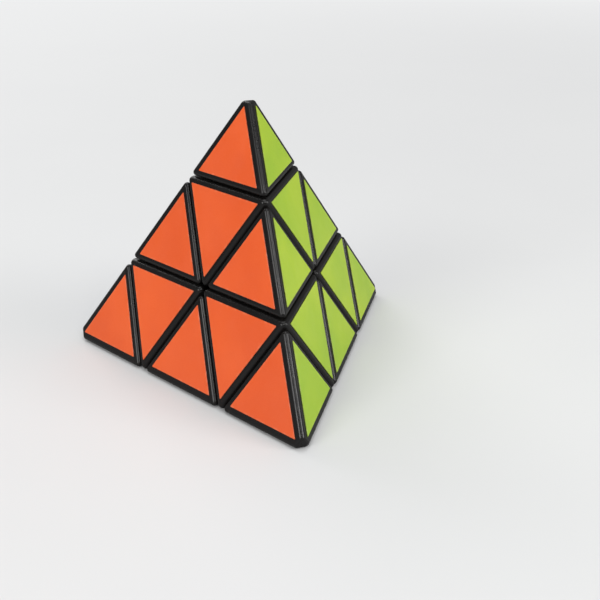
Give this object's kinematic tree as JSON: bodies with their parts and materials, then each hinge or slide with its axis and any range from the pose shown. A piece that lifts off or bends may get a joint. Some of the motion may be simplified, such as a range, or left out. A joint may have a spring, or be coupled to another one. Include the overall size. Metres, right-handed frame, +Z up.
{
  "type": "pyramid twisty puzzle",
  "caption": "Four-cornered black plastic twisty puzzle with orange, lime, blue and yellow triangle stickers; corner layers and tips turn about a hidden sprung core.",
  "frame": {"origin": "centre of the puzzle, where the turning axes of all four corners meet; the base stickers lie 20.2 mm below it", "axes": "+Z up to the top corner, -Y to the front corner between the orange and lime faces, +X to the right of someone facing that corner"},
  "size_m": [0.0928, 0.0814, 0.0764],
  "materials": {
    "black_plastic": "moulded, satin gloss, rounded edges",
    "core_plastic": "moulded, plain",
    "steel": "zinc plated",
    "spring_steel": "drawn wire",
    "sticker_orange": "printed vinyl film",
    "sticker_lime": "printed vinyl film",
    "sticker_blue": "printed vinyl film",
    "sticker_yellow": "printed vinyl film"
  },
  "bodies": {
    "core": {"core": "core_plastic", "axle_screws": "steel", "spring_washers": "steel", "tension_springs": "spring_steel"},
    "top_axial": {"axial_top": "black_plastic", "sticker_blue_axial_top": "sticker_blue", "sticker_orange_axial_top": "sticker_orange", "sticker_lime_axial_top": "sticker_lime"},
    "top_tip": {"tip_base_top": "black_plastic", "tip_cap_top": "black_plastic", "sticker_blue_tip_top": "sticker_blue", "sticker_orange_tip_top": "sticker_orange", "sticker_lime_tip_top": "sticker_lime"},
    "front_axial": {"axial_front": "black_plastic", "sticker_yellow_axial_front": "sticker_yellow", "sticker_orange_axial_front": "sticker_orange", "sticker_lime_axial_front": "sticker_lime"},
    "front_tip": {"tip_base_front": "black_plastic", "tip_cap_front": "black_plastic", "sticker_yellow_tip_front": "sticker_yellow", "sticker_orange_tip_front": "sticker_orange", "sticker_lime_tip_front": "sticker_lime"},
    "right_axial": {"axial_right": "black_plastic", "sticker_yellow_axial_right": "sticker_yellow", "sticker_blue_axial_right": "sticker_blue", "sticker_lime_axial_right": "sticker_lime"},
    "right_tip": {"tip_base_right": "black_plastic", "tip_cap_right": "black_plastic", "sticker_yellow_tip_right": "sticker_yellow", "sticker_blue_tip_right": "sticker_blue", "sticker_lime_tip_right": "sticker_lime"},
    "left_axial": {"axial_left": "black_plastic", "sticker_yellow_axial_left": "sticker_yellow", "sticker_blue_axial_left": "sticker_blue", "sticker_orange_axial_left": "sticker_orange"},
    "left_tip": {"tip_base_left": "black_plastic", "tip_cap_left": "black_plastic", "sticker_yellow_tip_left": "sticker_yellow", "sticker_blue_tip_left": "sticker_blue", "sticker_orange_tip_left": "sticker_orange"},
    "top_front_edge": {"edge_top_front": "black_plastic", "sticker_orange_edge_top_front": "sticker_orange", "sticker_lime_edge_top_front": "sticker_lime"},
    "top_right_edge": {"edge_top_right": "black_plastic", "sticker_blue_edge_top_right": "sticker_blue", "sticker_lime_edge_top_right": "sticker_lime"},
    "top_left_edge": {"edge_top_left": "black_plastic", "sticker_blue_edge_top_left": "sticker_blue", "sticker_orange_edge_top_left": "sticker_orange"},
    "front_right_edge": {"edge_front_right": "black_plastic", "sticker_yellow_edge_front_right": "sticker_yellow", "sticker_lime_edge_front_right": "sticker_lime"},
    "front_left_edge": {"edge_front_left": "black_plastic", "sticker_yellow_edge_front_left": "sticker_yellow", "sticker_orange_edge_front_left": "sticker_orange"},
    "left_right_edge": {"edge_left_right": "black_plastic", "sticker_yellow_edge_left_right": "sticker_yellow", "sticker_blue_edge_left_right": "sticker_blue"}
  },
  "joints": [
    {"name": "top_layer_turn", "type": "hinge", "parent": "core", "child": "top_axial", "pos_m": [0, 0, 0], "axis": [0, 0, 1], "range_deg": [-240, 120]},
    {"name": "front_layer_turn", "type": "hinge", "parent": "core", "child": "front_axial", "pos_m": [0, 0, 0], "axis": [0, -0.9428, -0.3333], "range_deg": [-120, 120]},
    {"name": "right_layer_turn", "type": "hinge", "parent": "core", "child": "right_axial", "pos_m": [0, 0, 0], "axis": [0.8165, 0.4714, -0.3333], "range_deg": [-120, 120]},
    {"name": "left_layer_turn", "type": "hinge", "parent": "core", "child": "left_axial", "pos_m": [0, 0, 0], "axis": [-0.8165, 0.4714, -0.3333], "range_deg": [-120, 120]},
    {"name": "top_front_edge_turn", "type": "hinge", "parent": "front_axial", "child": "top_front_edge", "pos_m": [0, 0, 0], "axis": [0, 0, 1], "range_deg": [-240, 120]},
    {"name": "top_right_edge_turn", "type": "hinge", "parent": "right_axial", "child": "top_right_edge", "pos_m": [0, 0, 0], "axis": [0, 0, 1], "range_deg": [-240, 120]},
    {"name": "top_left_edge_turn", "type": "hinge", "parent": "left_axial", "child": "top_left_edge", "pos_m": [0, 0, 0], "axis": [0, 0, 1], "range_deg": [-240, 120]},
    {"name": "front_right_edge_turn", "type": "hinge", "parent": "right_axial", "child": "front_right_edge", "pos_m": [0, 0, 0], "axis": [0, -0.9428, -0.3333], "range_deg": [-120, 120]},
    {"name": "front_left_edge_turn", "type": "hinge", "parent": "front_axial", "child": "front_left_edge", "pos_m": [0, 0, 0], "axis": [-0.8165, 0.4714, -0.3333], "range_deg": [-120, 120]},
    {"name": "left_right_edge_turn", "type": "hinge", "parent": "left_axial", "child": "left_right_edge", "pos_m": [0, 0, 0], "axis": [0.8165, 0.4714, -0.3333], "range_deg": [-120, 120]},
    {"name": "top_tip_turn", "type": "hinge", "parent": "top_axial", "child": "top_tip", "pos_m": [0, 0, 0], "axis": [0, 0, 1], "continuous": true},
    {"name": "front_tip_turn", "type": "hinge", "parent": "front_axial", "child": "front_tip", "pos_m": [0, 0, 0], "axis": [0, -0.9428, -0.3333], "continuous": true},
    {"name": "right_tip_turn", "type": "hinge", "parent": "right_axial", "child": "right_tip", "pos_m": [0, 0, 0], "axis": [0.8165, 0.4714, -0.3333], "continuous": true},
    {"name": "left_tip_turn", "type": "hinge", "parent": "left_axial", "child": "left_tip", "pos_m": [0, 0, 0], "axis": [-0.8165, 0.4714, -0.3333], "continuous": true}
  ],
  "couplings": [
    {"joint": "top_front_edge_turn", "follows": "top_layer_turn", "ratio": 1},
    {"joint": "top_right_edge_turn", "follows": "top_layer_turn", "ratio": 1},
    {"joint": "top_left_edge_turn", "follows": "top_layer_turn", "ratio": 1},
    {"joint": "front_right_edge_turn", "follows": "front_layer_turn", "ratio": 1},
    {"joint": "front_left_edge_turn", "follows": "left_layer_turn", "ratio": 1},
    {"joint": "left_right_edge_turn", "follows": "right_layer_turn", "ratio": 1}
  ]
}
